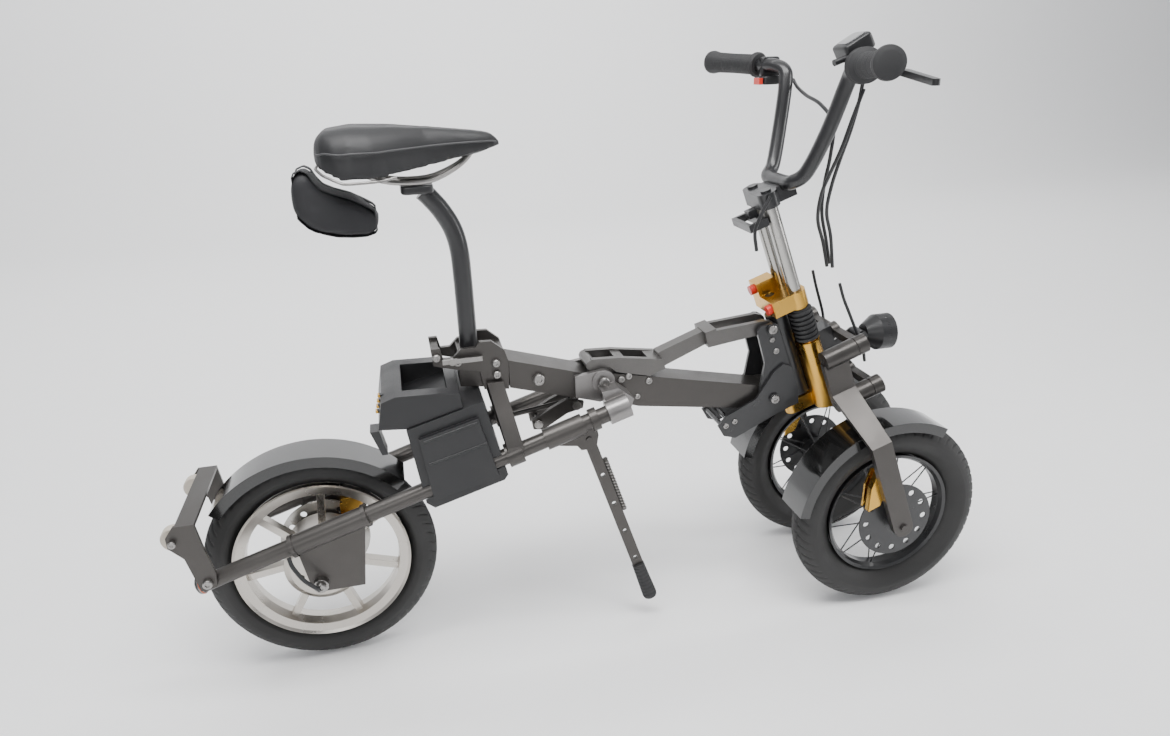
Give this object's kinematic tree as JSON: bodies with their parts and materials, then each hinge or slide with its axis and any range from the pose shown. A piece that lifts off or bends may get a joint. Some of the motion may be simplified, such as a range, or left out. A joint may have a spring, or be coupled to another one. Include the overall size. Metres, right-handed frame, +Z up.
{
  "type": "folding bicycle",
  "caption": "Folding electric cycle with a driven rear wheel, leaning and steering front wheels, a low battery, a saddle on a post and a telescopic handlebar stem.",
  "frame": {"origin": "middle of the whole box, on the floor under the wheels", "axes": "+X forwards, +Y to the rider's left, +Z up"},
  "size_m": [1.2745, 0.5676, 0.908],
  "materials": {
    "frame_grey": "satin",
    "frame_black": "satin",
    "link_silver": "satin",
    "bare_silver": "brushed",
    "dark_steel": "satin",
    "bright_steel": "polished",
    "gold": "satin",
    "disc_steel": "brushed",
    "tyre": "matte",
    "rubber": "matte",
    "cable": "satin",
    "black_plastic": "matte",
    "gloss_black": "gloss",
    "cream_plastic": "matte",
    "red": "satin",
    "saddle_cover": "satin",
    "bag_fabric": "matte"
  },
  "bodies": {
    "rear_frame": {"rails": "frame_grey", "axle_sleeves": "frame_grey", "tail_bracket": "frame_grey", "seat_block": "frame_grey", "seat_struts": "frame_grey", "rear_beam": "frame_grey", "hinge_bracket": "link_silver", "link_plate": "frame_grey", "battery_case": "black_plastic", "battery_handle": "black_plastic", "rear_mudguard": "gloss_black", "rear_caliper": "gold", "motor_cable": "cable", "frame_bolts": "dark_steel", "kickstand_clamp": "frame_grey"},
    "trolley_right": {"trolley_wheel_right": "cream_plastic"},
    "trolley_left": {"trolley_wheel_left": "cream_plastic"},
    "rear_wheel": {"rear_rim": "bare_silver", "hub_motor": "bare_silver", "rear_tyre": "tyre", "rear_disc": "disc_steel"},
    "kickstand": {"kickstand_leg": "frame_grey"},
    "seat": {"seatpost": "frame_black", "saddle_shell": "dark_steel", "saddle_pad": "saddle_cover", "saddle_bag": "bag_fabric"},
    "seat_quick_release": {"seat_lever": "bright_steel"},
    "front_frame": {"front_beam": "frame_grey", "top_link": "link_silver", "head_block": "frame_black", "lower_bracket": "frame_black"},
    "steering": {"gold_legs": "gold", "gold_clamps": "gold", "bellows": "rubber", "lean_yoke": "frame_black", "steering_cables": "cable"},
    "buttons": {"release_buttons": "red"},
    "stem": {"stem_tubes": "bare_silver", "stem_clamp": "frame_black", "handlebar": "frame_black", "grip_left": "rubber", "bar_controls": "black_plastic", "bar_cables": "cable"},
    "throttle": {"throttle_grip": "rubber"},
    "lever_right": {"brake_lever_right": "frame_black"},
    "lever_left": {"brake_lever_left": "frame_black"},
    "switch": {"switch_button": "red"},
    "lamp": {"headlight": "gloss_black"},
    "upper_rocker": {"rocker_upper": "frame_grey"},
    "lower_rocker": {"rocker_lower": "frame_grey"},
    "leg_right": {"blade_right": "frame_grey", "mudguard_right": "gloss_black", "caliper_right": "gold"},
    "leg_left": {"blade_left": "frame_grey", "mudguard_left": "gloss_black", "caliper_left": "gold"},
    "wheel_right": {"front_wheel_right": "frame_black", "tyre_right": "tyre"},
    "wheel_left": {"front_wheel_left": "frame_black", "tyre_left": "tyre"}
  },
  "joints": [
    {"name": "trolley_right_spin", "type": "hinge", "parent": "rear_frame", "child": "trolley_right", "pos_m": [-0.61775, -0.077, 0.286], "axis": [0, 1, 0], "continuous": true},
    {"name": "trolley_left_spin", "type": "hinge", "parent": "rear_frame", "child": "trolley_left", "pos_m": [-0.61775, 0.077, 0.286], "axis": [0, 1, 0], "continuous": true},
    {"name": "rear_wheel_spin", "type": "hinge", "parent": "rear_frame", "child": "rear_wheel", "pos_m": [-0.43575, 0, 0.175], "axis": [0, 1, 0], "continuous": true},
    {"name": "kickstand_swing", "type": "hinge", "parent": "rear_frame", "child": "kickstand", "pos_m": [-0.01675, -0.062, 0.346], "axis": [0, 1, 0], "range_deg": [0, 80]},
    {"name": "seat_height", "type": "slide", "parent": "rear_frame", "child": "seat", "axis": [0, 0, 1], "range_m": [-0.025, 0.02]},
    {"name": "seat_lever_swing", "type": "hinge", "parent": "rear_frame", "child": "seat_quick_release", "pos_m": [-0.20975, -0.041, 0.486], "axis": [0, 1, 0], "range_deg": [-90, 0]},
    {"name": "frame_fold", "type": "hinge", "parent": "rear_frame", "child": "front_frame", "pos_m": [0.01625, 0, 0.426], "axis": [0, 1, 0], "range_deg": [0, 62]},
    {"name": "steering_turn", "type": "hinge", "parent": "front_frame", "child": "steering", "pos_m": [0.34722, 0, 0.40405], "axis": [-0.3305, 0, 0.9438], "range_deg": [-30, 30]},
    {"name": "release_press", "type": "slide", "parent": "steering", "child": "buttons", "axis": [0.9438, 0, 0.3305], "range_m": [0, 0.004], "stiffness_N_per_m": 300},
    {"name": "stem_height", "type": "slide", "parent": "steering", "child": "stem", "axis": [-0.3305, 0, 0.9438], "range_m": [-0.04, 0.03]},
    {"name": "throttle_twist", "type": "hinge", "parent": "stem", "child": "throttle", "pos_m": [0.33125, -0.2005, 0.8715], "axis": [-0.2809, -0.9588, 0.0427], "range_deg": [0, 60], "stiffness_Nm_per_rad": 0.05},
    {"name": "brake_lever_right_pull", "type": "hinge", "parent": "stem", "child": "lever_right", "pos_m": [0.37925, -0.148, 0.86], "axis": [0, 0, 1], "range_deg": [0, 8], "stiffness_Nm_per_rad": 1},
    {"name": "brake_lever_left_pull", "type": "hinge", "parent": "stem", "child": "lever_left", "pos_m": [0.37925, 0.148, 0.86], "axis": [0, 0, -1], "range_deg": [0, 8], "stiffness_Nm_per_rad": 1},
    {"name": "switch_press", "type": "slide", "parent": "stem", "child": "switch", "axis": [1, 0, 0], "range_m": [0, 0.0015]},
    {"name": "headlight_tilt", "type": "hinge", "parent": "steering", "child": "lamp", "pos_m": [0.46925, 0, 0.44], "axis": [0, 1, 0], "range_deg": [-10, 10]},
    {"name": "lean", "type": "hinge", "parent": "steering", "child": "upper_rocker", "pos_m": [0.42366, 0, 0.45201], "axis": [0.9438, 0, 0.3305], "range_deg": [-12, 12]},
    {"name": "lean_lower", "type": "hinge", "parent": "steering", "child": "lower_rocker", "pos_m": [0.45765, 0, 0.37915], "axis": [0.9438, 0, 0.3305], "range_deg": [-12, 12]},
    {"name": "blade_right_pivot", "type": "hinge", "parent": "upper_rocker", "child": "leg_right", "pos_m": [0.39912, -0.08, 0.44342], "axis": [0.9438, 0, 0.3305], "range_deg": [-12, 12]},
    {"name": "blade_left_pivot", "type": "hinge", "parent": "upper_rocker", "child": "leg_left", "pos_m": [0.39912, 0.08, 0.44342], "axis": [0.9438, 0, 0.3305], "range_deg": [-12, 12]},
    {"name": "front_wheel_right_spin", "type": "hinge", "parent": "leg_right", "child": "wheel_right", "pos_m": [0.47525, -0.111, 0.1635], "axis": [0, 1, 0], "continuous": true},
    {"name": "front_wheel_left_spin", "type": "hinge", "parent": "leg_left", "child": "wheel_left", "pos_m": [0.47525, 0.111, 0.1635], "axis": [0, 1, 0], "continuous": true}
  ],
  "couplings": [
    {"joint": "lean_lower", "follows": "lean", "ratio": 1},
    {"joint": "blade_right_pivot", "follows": "lean", "ratio": -1},
    {"joint": "blade_left_pivot", "follows": "lean", "ratio": -1}
  ]
}
